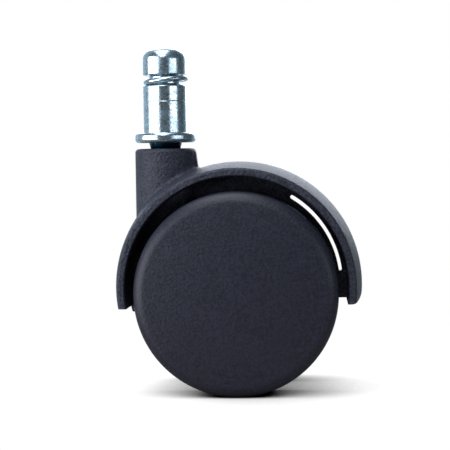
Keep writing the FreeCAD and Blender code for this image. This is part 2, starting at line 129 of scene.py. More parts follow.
class CasterStemSizes(bpy.types.PropertyGroup):
    """Sizes of the turned stem and its grip ring."""

    radius: length("Shank Radius", "Plain shank", MOUNTS["stem"]["dims"]["r_mm"] / 1000)
    shank: length("Shank Length", "Collar to the ring's groove", 0.01195)
    groove_length: length("Groove Length", "Groove for the grip ring, along the stem", 0.0028)
    groove_depth: length("Groove Depth", "Groove for the grip ring", 0.0016)
    groove_flank: length("Groove Flank", "Slope of the groove's sides, along the stem", 0.00035)
    groove_rounding: length("Groove Rounding", "Corners of the groove", 0.0003)
    head_rounding: length("Head Rounding", "Top of the head", 0.0026)
    collar_rim: length("Collar Rim", "Collar past the shank", 0.0022)
    collar_thickness: length("Collar Thickness", "Along the stem", 0.0025)
    collar_rounding: length("Collar Rounding", "Both edges of the collar", 0.0009)
    neck_rim: length("Neck Rim", "Neck past the pin, under the collar", 0.0004)
    neck_length: length("Neck Length", "Tapered neck", 0.0015)
    pin_radius: length("Pin Radius", "Swivel pin inside the sleeve", 0.0038)
    pin_chamfer: length("Pin Chamfer", "End of the swivel pin", 0.0006)
    clip_depth: length("Clip Groove Depth", "Groove near the pin's end", 0.0006)
    clip_play: length("Clip Play", "Clip to each side of its groove", 0.0001)
    seat_rounding: length("Seat Rounding", "Inner corner between shank and collar", 0.00005)
    edge_break: length("Edge Break", "Rounding of the edges that are left sharp", 0.00006)
    line_height: length("Line Height", "Fine turned line on the shank, above the collar", 0.0080)
    line_depth: length("Line Depth", "Depth of the turned line", 0.00006)
    ring_wire: length("Ring Wire", "Diameter of the grip ring's wire", 0.0014)
    ring_proud: length("Ring Proud", "Ring past the shank when centred", 0.00025)
    ring_opening: angle("Ring Opening", "Gap in the ring", 38)
    segments: count("Segments", "Faces around the stem", 224)
    longest_face: length("Longest Face", "Along the stem", 0.0012)
    ring_segments: count("Ring Segments", "Faces along the ring, between its rounded ends", 151)
    wire_segments: count("Wire Segments", "Faces around the ring's wire", 28)


class CasterWheelSizes(bpy.types.PropertyGroup):
    """Sizes of the domed wheel covers."""

    dome_radius: length("Dome Radius", "Curve of the face", 0.270)
    rounding: length("Face Rounding", "Face to tread", 0.003)
    wall: length("Wall", "Thickness of the cover", 0.0018)
    rim_wall: length("Rim Wall", "Thickness of the rim that the lip goes in", 0.0022)
    lip_gap: length("Lip Gap", "Lip to the rim", 0.00003)
    lip_length: length("Lip Length", "Lip past the seam", 0.002)
    lip_wall: length("Lip Wall", "Thickness of the lip", 0.0012)
    edge_break: length("Edge Break", "Rounding of the seam's edges", 0.00012)
    segments: count("Segments", "Faces around the wheel", 288)


class CasterFinishes(bpy.types.PropertyGroup):
    """Colours and roughness of the materials."""

    housing: colour("Housing", "Grained nylon of the housing", (0.025, 0.027, 0.043))
    wheel: colour("Wheel", "Satin nylon of the wheels", (0.016, 0.016, 0.028))
    zinc: colour("Zinc", "Bright zinc plating", (0.90, 0.96, 0.99))
    zinc_tint: colour("Zinc Tint", "Second tone of the plating", (0.66, 0.87, 0.97))
    # painted shade: this dark colour stands in for the shade on the neck and pin under the collar
    oil: colour("Painted Neck Shade", "Painted shade on the neck and pin, under the collar", (0.012, 0.050, 0.08))
    acetal: colour("Acetal", "Sleeve, bushes and washers", (0.78, 0.77, 0.72))
    ground_steel: colour("Ground Steel", "Axle and thrust disc", (0.56, 0.56, 0.57))
    dark_steel: colour("Dark Steel", "Blackened clips", (0.09, 0.09, 0.10))
    housing_roughness: share("Housing Roughness", "Grained nylon", 0.50)
    wheel_roughness: share("Wheel Roughness", "Satin nylon", 0.44)
    zinc_roughness: share("Zinc Roughness", "Plated steel", 0.23)
    ground_roughness: share("Ground Roughness", "Axle and thrust disc", 0.22)
    dark_roughness: share("Dark Roughness", "Blackened clips", 0.38)


class CasterStudio(bpy.types.PropertyGroup):
    """Camera and lights."""

    azimuth: angle("Azimuth", "Camera round the object", 4.423)
    elevation: angle("Elevation", "Camera above its aim", 1.249)
    roll: angle("Roll", "Camera about its own axis", -0.9)
    distance: length("Distance", "Camera to its aim", 0.38)
    aim: FloatVectorProperty(
        name="Aim", description="Point looked at", default=(0.012, 0, -0.015), unit="LENGTH"
    )
    lens: FloatProperty(name="Lens", description="Focal length", default=119.32, unit="CAMERA")
    shift: FloatVectorProperty(name="Shift", description="Lens shift", default=(0.02619, -0.07551), size=2)
    room: share("Room Light", "Brightness of the room on the camera's side", 0.12)
    backdrop: share("Backdrop Light", "Brightness of the room behind", 0.70)
    room_tint: colour("Room Tint", "Colour of the room", (0.72, 0.88, 1.0))
    key: brightness("Key Light", "Panel overhead", 3.4)
    left: brightness("Left Light", "Box on the left", 3.3)
    right: brightness("Right Light", "Strip on the right", 2.5)
    back: brightness("Back Light", "Box behind", 3.0)
    light_tint: colour("Light Tint", "Colour of every light", (0.87, 0.91, 1.0))


# Surfaces

def rounded_profile(corners, spare, steps):
    """Points along a path of corners (u, v, radius) with each corner rounded.

    Each inner corner becomes an arc of its radius, or of the spare radius where it has none, that
    touches both of its straight runs; where two arcs would crowd a run, both shrink. The arc starts
    at radius / tan(half the corner's angle) from the corner, and its points are the spherical blend
    of its first and last spoke. A guard point on each run, just outside the arc, keeps the straight
    part's shading flat.
    """
    guard = 0.00004
    guard_share = 0.3
    arc_clearance = 1.02
    points = np.array([corner[:2] for corner in corners])
    radii = np.array([corner[2] or spare for corner in corners[1:-1]])
    lengths = np.linalg.norm(np.diff(points, axis=0), axis=1)
    runs = np.diff(points, axis=0) / lengths[:, None]
    back, ahead, here = -runs[:-1], runs[1:], points[1:-1]
    half = np.arccos(np.clip((back * ahead).sum(axis=1), -1, 1)) / 2
    wanted = np.pad(radii / np.tan(half), 1)
    fit = 1 / np.maximum(arc_clearance * (wanted[:-1] + wanted[1:]) / lengths, 1)
    reach = (wanted[1:-1] * np.minimum(fit[:-1], fit[1:]))[:, None]
    middle = (back + ahead) / np.linalg.norm(back + ahead, axis=1)[:, None]
    centre = here + middle * reach / np.cos(half)[:, None]
    turn = np.linspace(0, 1, steps + 1)[:, None, None]
    sweep = (math.pi - 2 * half)[:, None]
    start, end = here + back * reach - centre, here + ahead * reach - centre
    arc = (np.sin((1 - turn) * sweep) * start + np.sin(turn * sweep) * end) / np.sin(sweep) + centre
    left = lengths - np.pad(reach[:, 0], (0, 1)) - np.pad(reach[:, 0], (1, 0))
    spot = np.minimum(guard, left * guard_share)[:, None]
    outer = [(here + back * (reach + spot[:-1]))[None], arc, (here + ahead * (reach + spot[1:]))[None]]
    rows = np.concatenate(outer).transpose(1, 0, 2).reshape(-1, 2)
    return np.concatenate([points[:1], rows, points[-1:]])


def split_runs(profile, longest):
    """The profile with its long runs divided evenly, so that no run is longer than that."""
    runs = np.linalg.norm(np.diff(profile, axis=0), axis=1)
    counts = np.maximum(np.ceil(runs / longest), 1).astype(int)
    starts = np.repeat(np.arange(len(runs)), counts)
    first = np.repeat(np.cumsum(counts) - counts, counts)
    share_done = (np.arange(counts.sum()) - first) / np.repeat(counts, counts)
    points = profile[starts] + (profile[starts + 1] - profile[starts]) * share_done[:, None]
    return np.concatenate([points, profile[-1:]])


def grid_mesh(name, grid, first_pole, last_pole):
    """Closed mesh from a grid (rows, columns, 3) whose columns go round.

    A quad joins each row to the next, and a fan closes each end row to its pole. The faces are
    turned round if the signed volume, a sixth of the sum of a . (b x c) over the triangles, comes
    out negative.
    """
    rows, columns = grid.shape[:2]
    index = np.arange(rows * columns).reshape(rows, columns)
    low, high = index[:-1], index[1:]
    quads = np.stack([low, np.roll(low, -1, 1), np.roll(high, -1, 1), high], axis=-1).reshape(-1, 4)
    vertices = np.concatenate([grid.reshape(-1, 3), [first_pole, last_pole]])
    pole = np.full(columns, rows * columns)
    first_fan = np.stack([pole, np.roll(index[0], -1), index[0]], axis=-1)
    last_fan = np.stack([pole + 1, index[-1], np.roll(index[-1], -1)], axis=-1)
    fans = np.concatenate([first_fan, last_fan])
    triangles = np.concatenate([quads[:, [0, 1, 2]], quads[:, [0, 2, 3]], fans])
    a, b, c = (vertices[triangles[:, i]] for i in range(3))
    if np.einsum("ij,ij->i", a, np.cross(b, c)).sum() < 0:
        quads = quads[:, ::-1]
        fans = fans[:, ::-1]
    mesh = bpy.data.meshes.new(name)
    mesh.from_pydata(vertices.tolist(), [], quads.tolist() + fans.tolist())
    mesh.shade_smooth()
    return mesh


def add_piece(name, mesh, body, *replaced):
    """Links the mesh as a finished piece that rides on a body and stands for CAD nodes."""
    piece = bpy.data.objects.new(name, mesh)
    bpy.context.scene.collection.objects.link(piece)
    mesh.materials.append(finish_of(replaced[0]))
    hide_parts(*replaced)
    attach(piece, body)


def slot_of(node):
    """The record's material slot of a CAD node."""
    return next(s["material_slot"] for s in frame["record"]["subparts"] if s["node"] == node)


def spun(profile, segments, place):
    """Grid of a profile (radius, along) carried round a full turn; place maps (x, y, along)."""
    turn = np.linspace(0, 2 * math.pi, segments, endpoint=False)
    radius = profile[:, :1]
    along = np.broadcast_to(profile[:, 1:], (len(profile), segments))
    return place(radius * np.cos(turn), radius * np.sin(turn), along)


def about_stem(x, y, along):
    """Places a spun grid on the swivel axis, with its profile running up along Z."""
    return np.stack([x, y, along], axis=-1)


def about_axle(side):
    """Places a spun grid on the wheel at that side, -1 in front and 1 at the rear."""
    return lambda x, y, along: AXLE + np.stack([x, side * along, y], axis=-1)


# Node groups and materials

class Tree:
    """Short way to add and link nodes in a node tree."""

    def __init__(self, tree):
        self.tree = tree

    def feed(self, value, socket):
        """Links an output to the socket, or sets the socket to a plain value."""
        if isinstance(value, bpy.types.NodeSocket):
            self.tree.links.new(value, socket)
        else:
            socket.default_value = value

    def add(self, kind, **settings):
        """New node; settings are its own properties, or inputs by name with spaces as underscores."""
        node = self.tree.nodes.new(kind)
        for key, value in settings.items():
            if hasattr(node, key):
                setattr(node, key, value)
            else:
                self.feed(value, node.inputs[key.replace("_", " ")])
        return node

    def math(self, operation, *values):
        """Maths node's result; each value is a number or an output."""
        node = self.add("ShaderNodeMath", operation=operation)
        for value, socket in zip(values, node.inputs):
            self.feed(value, socket)
        return node.outputs[0]

    def blend(self, factor, a, b):
        """Colour a where factor is 0 and b where it is 1; a colour is an output or three numbers."""
        node = self.add("ShaderNodeMix", data_type="RGBA")
        self.feed(factor, node.inputs[0])
        for colour_value, socket in zip((a, b), node.inputs[6:8]):
            is_output = isinstance(colour_value, bpy.types.NodeSocket)
            self.feed(colour_value if is_output else (*colour_value, 1), socket)
        return node.outputs[2]

    def spread(self, value, low, high, to_low=0.0, to_high=1.0):
        """Value moved from the range low to high to the range to_low to to_high, and kept in it."""
        limits = {"From Min": low, "From Max": high, "To Min": to_low, "To Max": to_high}
        node = self.add("ShaderNodeMapRange", Value=value)
        for name, number in limits.items():
            node.inputs[name].default_value = number
        return node.outputs["Result"]


def node_group(name, inputs, outputs):
    """Empty shader node group with named float inputs, given as name and default."""
    group = bpy.data.node_groups.new(name, "ShaderNodeTree")
    for title, default in inputs:
        socket = group.interface.new_socket(title, in_out="INPUT", socket_type="NodeSocketFloat")
        socket.default_value = default
    for title in outputs:
        group.interface.new_socket(title, in_out="OUTPUT", socket_type="NodeSocketFloat")
    tree = Tree(group)
    return group, tree, tree.add("NodeGroupInput").outputs, tree.add("NodeGroupOutput").inputs


def mould_grain_group():
    """Spark-eroded mould texture: rounded cells roughened by noise.

    Height is 0.9 of a smooth cell pattern, a noise of the grain's size and 0.35 of a noise 2.7 times
    finer, added up. Speckle is the tone of single grains and Mottle a slow change of tone.
    """
    cell_share = 0.9
    fine_share = 0.35
    finer = 2.7
    group, tree, given, result = node_group(
        "mould_grain", [("Grain Size", 0.0004), ("Mottle Size", 0.004)], ["Height", "Speckle", "Mottle"]
    )
    where = tree.add("ShaderNodeTexCoord").outputs["Object"]
    grains = tree.math("DIVIDE", 1.0, given["Grain Size"])
    cells = tree.add("ShaderNodeTexVoronoi", feature="SMOOTH_F1", Vector=where, Scale=grains, Smoothness=0.6)
    coarse = tree.add("ShaderNodeTexNoise", Vector=where, Scale=grains, Detail=3.0, Roughness=0.6)
    fine_scale = tree.math("MULTIPLY", grains, finer)
    fine = tree.add("ShaderNodeTexNoise", Vector=where, Scale=fine_scale, Detail=1.0)
    cell_part = tree.math("MULTIPLY", cells.outputs["Distance"], cell_share)
    fine_part = tree.math("MULTIPLY", fine.outputs["Fac"], fine_share)
    height = tree.math("ADD", tree.math("ADD", cell_part, coarse.outputs["Fac"]), fine_part)
    tree.feed(height, result["Height"])
    tree.feed(tree.spread(coarse.outputs["Fac"], 0.34, 0.66), result["Speckle"])
    slow = tree.math("DIVIDE", 1.0, given["Mottle Size"])
    mottle = tree.add("ShaderNodeTexNoise", Vector=where, Scale=slow, Detail=4.0, Roughness=0.55)
    tree.feed(tree.spread(mottle.outputs["Fac"], 0.3, 0.7), result["Mottle"])
    return group


def edge_wear_group():
    """Mask of worn edges, broken up by noise; the nylon pales its edges by it, partly as wear and partly as
    a painted highlight.

    An edge is where the surface's normal and the one rounded within a small radius differ: their
    dot product runs from 0.99 (no wear) to 0.70 (full wear).
    """
    group, tree, given, result = node_group(
        "edge_wear", [("Radius", 0.0003), ("Patch Size", 0.0015)], ["Mask"]
    )
    where = tree.add("ShaderNodeTexCoord").outputs["Object"]
    near = tree.add("ShaderNodeBevel", samples=4, Radius=given["Radius"])
    flat = tree.add("ShaderNodeNewGeometry").outputs["Normal"]
    turned = tree.add("ShaderNodeVectorMath", operation="DOT_PRODUCT")
    tree.feed(near.outputs["Normal"], turned.inputs[0])
    tree.feed(flat, turned.inputs[1])
    edge = tree.spread(turned.outputs["Value"], 0.70, 0.99, 1.0, 0.0)
    patches = tree.math("DIVIDE", 1.0, given["Patch Size"])
    noise = tree.add("ShaderNodeTexNoise", Vector=where, Scale=patches, Detail=3.0)
    broken = tree.spread(noise.outputs["Fac"], 0.40, 0.62, 0.15, 1.0)
    tree.feed(tree.math("MULTIPLY", edge, broken), result["Mask"])
    return group


def turning_marks_group():
    """Fine lathe rings along Z: noise stretched 50 times across, under a plating of small spangles.

    Spangle is the tone of the single crystals and Mottle a slow change of tone.
    """
    stretch = (1 / 50, 1 / 50, 1.0)
    group, tree, given, result = node_group(
        "turning_marks",
        [("Pitch", 0.00012), ("Spangle Size", 0.0005), ("Mottle Size", 0.003)],
        ["Height", "Spangle", "Mottle"],
    )
    where = tree.add("ShaderNodeTexCoord").outputs["Object"]
    stretched = tree.add("ShaderNodeVectorMath", operation="MULTIPLY")
    tree.feed(where, stretched.inputs[0])
    tree.feed(stretch, stretched.inputs[1])
    rings = tree.math("DIVIDE", 1.0, given["Pitch"])
    marks = tree.add("ShaderNodeTexNoise", Vector=stretched.outputs["Vector"], Scale=rings, Detail=2.0)
    tree.feed(marks.outputs["Fac"], result["Height"])
    grains = tree.math("DIVIDE", 1.0, given["Spangle Size"])
    crystals = tree.add("ShaderNodeTexNoise", Vector=where, Scale=grains, Detail=2.0, Roughness=0.7)
    tree.feed(tree.spread(crystals.outputs["Fac"], 0.36, 0.62), result["Spangle"])
    slow = tree.math("DIVIDE", 1.0, given["Mottle Size"])
    mottle = tree.add("ShaderNodeTexNoise", Vector=where, Scale=slow, Detail=4.0)
    tree.feed(tree.spread(mottle.outputs["Fac"], 0.35, 0.65), result["Mottle"])
    return group


def shared(maker):
    """The node group that a maker builds, built once."""
    name = maker.__name__.removesuffix("_group")
    return bpy.data.node_groups.get(name) or maker()


def emptied(owner):
    """The node tree of a material or world, with nothing in it."""
    owner.use_nodes = True
    owner.node_tree.nodes.clear()
    return Tree(owner.node_tree)


def new_material(name, display):
    """Material with a Principled BSDF alone; returns its tree and that shader."""
    material = bpy.data.materials.new(name)
    material.diffuse_color = (*display, 1)
    tree = emptied(material)
    shader = tree.add("ShaderNodeBsdfPrincipled")
    tree.add("ShaderNodeOutputMaterial", Surface=shader.outputs["BSDF"])
    return tree, shader


def place_group(tree, maker, **values):
    """Places a shared group with its own values and returns its outputs."""
    node = tree.add("ShaderNodeGroup", node_tree=shared(maker))
    for key, value in values.items():
        node.inputs[key.replace("_", " ")].default_value = value
    return node.outputs


def add_bump(tree, shader, height, depth):
    """Raises the shader's surface by the height, where 1 stands for the depth in metres."""
    bump = tree.add("ShaderNodeBump", Strength=1.0, Distance=depth, Height=height)
    tree.feed(bump.outputs["Normal"], shader.inputs["Normal"])


def nylon(name, base, roughness, grain, depth, speckle, wear_and_highlight):
    """Moulded nylon with spark-eroded grain, speckled tone and paler, smoother edges: worn, and pale partly
    as a painted highlight.

    Its tone runs from 1 - speckle to 1 + speckle times the base colour, four fifths by single grains
    and one fifth by the slow mottle.
    """
    mottle_share = 0.2
    roughness_play = 0.03
    worn_smoother = 0.12
    base = np.array(base)
    # paler edge colour: part wear, part painted highlight along the rounded rims
    wear_and_highlight_tone = base * 2.4 + 0.02
    tree, shader = new_material(name, base)
    texture = place_group(tree, mould_grain_group, Grain_Size=grain)
    edges = place_group(tree, edge_wear_group)
    slow_part = tree.math("MULTIPLY", texture["Mottle"], mottle_share)
    grain_part = tree.math("MULTIPLY", texture["Speckle"], 1 - mottle_share)
    paleness = tree.math("ADD", slow_part, grain_part)
    tone = tree.blend(paleness, base * (1 - speckle), base * (1 + speckle))
    # edges pale towards that tone, as wear and as a painted highlight
    wear_and_highlight_mix = tree.math("MULTIPLY", edges["Mask"], wear_and_highlight)
    tree.feed(tree.blend(wear_and_highlight_mix, tone, wear_and_highlight_tone), shader.inputs["Base Color"])
    low, high = roughness - roughness_play, roughness + roughness_play
    rough = tree.spread(texture["Speckle"], 0.0, 1.0, low, high)
    smoother = tree.math("MULTIPLY", edges["Mask"], worn_smoother * wear_and_highlight)
    tree.feed(tree.math("SUBTRACT", rough, smoother), shader.inputs["Roughness"])
    shader.inputs["Specular IOR Level"].default_value = 0.45
    add_bump(tree, shader, texture["Height"], depth)


def plated_steel(name, plating, tint, roughness, pitch, depth, painted_shade=None):
    """Bright steel with turning rings, dark and light spangles and a second tone in the plating.

    The light spangles run from the plating's colour to the tint and the dark ones from 0.4 to 0.6 of
    the tint, both by the slow mottle. A painted shade, given as its upper edge's height and its colour,
    darkens what lies below that edge; it stands in for the shade under the stem's collar.
    """
    shade_fade = 0.0001
    tint = np.array(tint)
    tree, shader = new_material(name, plating)
    marks = place_group(tree, turning_marks_group, Pitch=pitch)
    light = tree.blend(marks["Mottle"], plating, tint)
    dark = tree.blend(marks["Mottle"], tint * 0.4, tint * 0.6)
    tone = tree.blend(marks["Spangle"], dark, light)
    # painted shade: below the collar's underside the plating turns to the dark colour that stands in for
    # shade
    if painted_shade:
        edge, shade_colour = painted_shade
        where = tree.add("ShaderNodeTexCoord").outputs["Object"]
        height = tree.add("ShaderNodeSeparateXYZ", Vector=where).outputs["Z"]
        tone = tree.blend(tree.spread(height, edge - shade_fade, edge, 1.0, 0.0), tone, shade_colour)
    tree.feed(tone, shader.inputs["Base Color"])
    shader.inputs["Metallic"].default_value = 1.0
    rough = tree.spread(marks["Mottle"], 0.0, 1.0, roughness * 0.8, roughness * 1.25)
    tree.feed(rough, shader.inputs["Roughness"])
    add_bump(tree, shader, marks["Height"], depth)


def acetal(name, base, depth):
    """Smooth natural acetal: waxy, clouded between 0.94 of its colour and the whole of it."""
    base = np.array(base)
    tree, shader = new_material(name, base)
    texture = place_group(tree, mould_grain_group, Grain_Size=0.0003, Mottle_Size=0.002)
    tree.feed(tree.blend(texture["Mottle"], base * 0.94, base), shader.inputs["Base Color"])
    tree.feed(tree.spread(texture["Mottle"], 0.0, 1.0, 0.28, 0.36), shader.inputs["Roughness"])
    shader.inputs["Subsurface Weight"].default_value = 0.1
    shader.inputs["Subsurface Radius"].default_value = (0.001, 0.001, 0.0008)
    add_bump(tree, shader, texture["Height"], depth)


FINISH_OF_SLOT = {
    "housing_plastic": "grained_nylon",
    "wheel_plastic": "satin_nylon",
    "stem_zinc": "bright_zinc",
    "ring_steel": "zinc_wire",
    "axle_steel": "ground_steel",
    "clip_steel": "blackened_steel",
    "acetal": "natural_acetal",
}


def make_finishes():
    """Makes every material of the caster, with its grain or pitch and its depth in metres."""
    look = bpy.context.scene.caster_finishes
    housing = (look.housing, look.housing_roughness)
    wheel = (look.wheel, look.wheel_roughness)
    zinc = (look.zinc, look.zinc_tint, look.zinc_roughness)
    ground = (look.ground_steel, look.ground_steel, look.ground_roughness)
    dark = (look.dark_steel, look.dark_steel, look.dark_roughness)
    # painted shade for the neck and pin, below the collar's underside
    painted_shade = (-bpy.context.scene.caster_stem.collar_thickness, look.oil)
    # the last value sets how far edges pale, as wear and as a painted highlight
    nylon("grained_nylon", *housing, grain=0.0006, depth=0.00015, speckle=0.85, wear_and_highlight=0.7)
    nylon("satin_nylon", *wheel, grain=0.0006, depth=0.00004, speckle=0.5, wear_and_highlight=0.3)
    plated_steel("bright_zinc", *zinc, pitch=0.00016, depth=0.0000006, painted_shade=painted_shade)
    plated_steel("zinc_wire", *zinc, pitch=0.0003, depth=0.0000006)
    plated_steel("ground_steel", *ground, pitch=0.00008, depth=0.000002)
    plated_steel("blackened_steel", *dark, pitch=0.0003, depth=0.000002)
    acetal("natural_acetal", look.acetal, depth=0.000002)


def finish_of(node):
    """The material of a CAD node, by its slot in the record."""
    name = FINISH_OF_SLOT[slot_of(node)]
    if name not in bpy.data.materials:
        make_finishes()
    return bpy.data.materials[name]


# Pieces

def stem_profile(sizes):
    """Outline (radius, height) of the stem from the middle of its head down to the pin's end."""
    groove = sizes.radius - sizes.groove_depth
    groove_end = sizes.shank + sizes.groove_length
    collar = sizes.radius + sizes.collar_rim
    neck_low = -sizes.collar_thickness - sizes.neck_length
    pin = sizes.pin_radius
    clip_low = CLIP_BOX[0][2] - sizes.clip_play
    clip_high = CLIP_BOX[1][2] + sizes.clip_play
    top = STEM_BOX[1][2]
    end = STEM_BOX[0][2]
    line = sizes.line_depth
    rounding = sizes.groove_rounding
    return [
        (0, top, 0),
        (sizes.radius, top, sizes.head_rounding),
        (sizes.radius, groove_end, rounding),
        (groove, groove_end - sizes.groove_flank, rounding),
        (groove, sizes.shank + sizes.groove_flank, rounding),
        (sizes.radius, sizes.shank, rounding),
        (sizes.radius, sizes.line_height + 2 * line, line),
        (sizes.radius - line, sizes.line_height, line),
        (sizes.radius, sizes.line_height - 2 * line, line),
        (sizes.radius, 0, sizes.seat_rounding),
        (collar, 0, sizes.collar_rounding),
        (collar, -sizes.collar_thickness, sizes.collar_rounding),
        (pin + sizes.neck_rim, -sizes.collar_thickness, 0),
        (pin, neck_low, 0),
        (pin, clip_high, 0),
        (pin - sizes.clip_depth, clip_high, 0),
        (pin - sizes.clip_depth, clip_low, 0),
        (pin, clip_low, 0),
        (pin, end + sizes.pin_chamfer, 0),
        (pin - sizes.pin_chamfer, end, 0),
        (0, end, 0),
    ]


class CASTER_OT_stem(bpy.types.Operator):
    """Turn the stem: the outline of head, groove, shank, collar and pin carried round the swivel axis"""

    bl_idname = "caster.stem"
    bl_label = "Stem"

    def execute(self, context):
        sizes = context.scene.caster_stem
        profile = rounded_profile(stem_profile(sizes), sizes.edge_break, steps=10)
        profile = split_runs(profile, sizes.longest_face)
        grid = spun(profile[1:-1], sizes.segments, about_stem)
        poles = [np.array([0, 0, profile[i, 1]]) for i in (0, -1)]
        mesh = grid_mesh("stem_turned", grid, *poles)
        add_piece("stem_turned", mesh, "stem", "stem")
        return {"FINISHED"}


def ring_surface(sizes):
    """Grid (rows, columns, 3) and two poles of the open grip ring, level and about (0, 0, 0).

    At the angle t along the ring and s around the wire, a point stands radius + size cos s out from
    the middle and size sin s up. The size is the wire's, and falls to nothing as a quarter sine over
    the two rounded ends, each of which takes end_share of the wire's radius along the ring.
    """
    end_share = 0.3
    end_rows = 7
    wire = sizes.ring_wire / 2
    radius = sizes.radius + sizes.ring_proud - wire
    first = math.pi / 2 + sizes.ring_opening / 2
    last = first + 2 * math.pi - sizes.ring_opening
    slope = np.linspace(0.1, 1, end_rows) * math.pi / 2
    run_in = first + end_share * wire / radius * (1 - np.cos(slope))
    run_out = last - end_share * wire / radius * (1 - np.cos(slope[::-1]))
    between = np.linspace(run_in[-1], run_out[0], sizes.ring_segments + 1)[1:-1]
    turn = np.concatenate([run_in, between, run_out])[:, None]
    size = np.concatenate([np.sin(slope), np.ones(len(between)), np.sin(slope[::-1])])[:, None] * wire
    section = np.linspace(0, 2 * math.pi, sizes.wire_segments, endpoint=False)
    out = radius + size * np.cos(section)
    grid = np.stack([out * np.cos(turn), out * np.sin(turn), size * np.sin(section)], axis=-1)
    poles = np.array([[radius * math.cos(t), radius * math.sin(t), 0] for t in (first, last)])
    return grid, poles


class CASTER_OT_grip_ring(bpy.types.Operator):
    """Bend the grip ring: a wire circle carried round an open arc, askew in the stem's groove"""

    bl_idname = "caster.grip_ring"
    bl_label = "Grip Ring"

    def execute(self, context):
        grid, poles = ring_surface(context.scene.caster_stem)
        tilt = math.radians(JOINTS["grip_ring_float"]["range_deg"][1])
        askew = np.array(Matrix.Rotation(-tilt, 3, "Y"))
        centre = np.array([RING_PIVOT[0], 0, (RING_BOX[0][2] + RING_BOX[1][2]) / 2])
        mesh = grid_mesh("grip_ring_wire", grid @ askew.T + centre, *(poles @ askew.T + centre))
        add_piece("grip_ring_wire", mesh, "grip_ring", "grip_ring")
        return {"FINISHED"}


def tangent_blend(radius, edge, blend, steps):
    """Arc (radius, along) inside a circle about (0, 0), from that circle to the line at edge.

    Its own radius is blend, and its centre is blend inside the line and blend inside the circle, so
    it meets both without a corner.
    """
    across = edge - blend
    along = math.sqrt((radius - blend) ** 2 - across ** 2)
    turn = np.linspace(math.atan2(along, across), 0, steps)
    return np.stack([across + blend * np.cos(turn), along + blend * np.sin(turn)], axis=-1)


def dome_profile(radius, edge, blend, rows):
    """Outline (radius, along) of a dome about (0, 0), from its middle out to its rounded edge.

    Along is the root of radius squared less the distance from the axis squared, up to the blend.
    """
    blend_rows = 14
    arc = tangent_blend(radius, edge, blend, blend_rows)
    across = np.linspace(0, arc[0, 0], rows)[:-1]
    return np.concatenate([np.stack([across, np.sqrt(radius ** 2 - across ** 2)], axis=-1), arc])


def cover_profile(sizes):
    """Outline (radius, along the axle) of a cover, from the outside's middle round to the inside's.

    Both faces are domes about one point on the axle's line, the inner one smaller by the wall.
    """
    centre = [0, COVER_BOX[1][1] - sizes.dome_radius]
    lip_outer = WHEEL_RADIUS - sizes.rim_wall - sizes.lip_gap
    lip_inner = lip_outer - sizes.lip_wall
    lip_end = COVER_BOX[0][1]
    seam = lip_end + sizes.lip_length
    wall = sizes.wall
    outside = dome_profile(sizes.dome_radius, WHEEL_RADIUS, sizes.rounding, rows=40) + centre
    inside = dome_profile(sizes.dome_radius - wall, lip_inner, sizes.rounding - wall, rows=20) + centre
    corners = [
        (*outside[-1], 0),
        (WHEEL_RADIUS, seam, 0),
        (lip_outer, seam, 0),
        (lip_outer, lip_end, 0),
        (lip_inner, lip_end, 0),
        (*inside[-1], 0),
    ]
    edge = rounded_profile(corners, sizes.edge_break, steps=4)
    return np.concatenate([outside[:-1], edge, inside[-2::-1]])


class CASTER_OT_wheel_covers(bpy.types.Operator):
    """Mould the two wheel covers: a domed outline with a rounded edge and a lip, carried round the axle"""

    bl_idname = "caster.wheel_covers"
    bl_label = "Wheel Covers"

    def execute(self, context):
        sizes = context.scene.caster_wheels
        profile = cover_profile(sizes)
        for name, side in (("front", -1), ("rear", 1)):
            grid = spun(profile[1:-1], sizes.segments, about_axle(side))
            poles = [AXLE + np.array([0, side * profile[i, 1], 0]) for i in (0, -1)]
            mesh = grid_mesh(name + "_wheel_face", grid, *poles)
            add_piece(name + "_wheel_face", mesh, name + "_wheel", name + "_wheel_cover")
        return {"FINISHED"}


class CASTER_OT_packed_pieces(bpy.types.Operator):
    """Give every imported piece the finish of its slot"""

    bl_idname = "caster.packed_pieces"
    bl_label = "Housing, Wheels and Small Pieces"

    def execute(self, context):
        for name, node in frame["nodes"].items():
            for i in range(len(node.material_slots)):
                node.material_slots[i].material = finish_of(name)
        return {"FINISHED"}


# Studio

def softbox(name, radiance, tint, place, aim, size):
    """Rectangular area light at a place, facing a point; its energy is pi times area and radiance."""
    light = bpy.data.lights.new(name, "AREA")
    light.shape = "RECTANGLE"
    light.size, light.size_y = size
    light.energy = radiance * math.pi * size[0] * size[1]
    light.color = tint
    lamp = bpy.data.objects.new(name, light)
    lamp.location = place
    lamp.rotation_mode = "QUATERNION"
    lamp.rotation_quaternion = (Vector(place) - Vector(aim)).to_track_quat("Z", "Y")
    lamp.visible_camera = False
    bpy.context.scene.collection.objects.link(lamp)


def mix_shaders(tree, share_of_second, first, second):
    """Output of two shader nodes mixed by a share."""
    mixed = tree.add("ShaderNodeMixShader", Fac=share_of_second)
    tree.feed(first.outputs[0], mixed.inputs[1])
    tree.feed(second.outputs[0], mixed.inputs[2])
    return mixed.outputs[0]


def studio_world(studio):
    """World that is white to the camera; to everything else it is a dim room, paler behind.

    It turns from dim to pale as a direction's Y less 0.35 of its X goes from 0.2 to 1.
    """
    world = bpy.data.worlds.new("studio")
    tree = emptied(world)
    direction = tree.add("ShaderNodeTexCoord").outputs["Generated"]
    parts = tree.add("ShaderNodeSeparateXYZ", Vector=direction).outputs
    behind = tree.math("SUBTRACT", parts["Y"], tree.math("MULTIPLY", parts["X"], 0.35))
    strength = tree.spread(behind, 0.2, 1.0, studio.room, studio.backdrop)
    lit = tree.add("ShaderNodeBackground", Strength=strength, Color=(*studio.room_tint, 1))
    seen = tree.add("ShaderNodeBackground", Color=(1, 1, 1, 1))
    camera_ray = tree.add("ShaderNodeLightPath").outputs["Is Camera Ray"]
    tree.add("ShaderNodeOutputWorld", Surface=mix_shaders(tree, camera_ray, lit, seen))
    return world


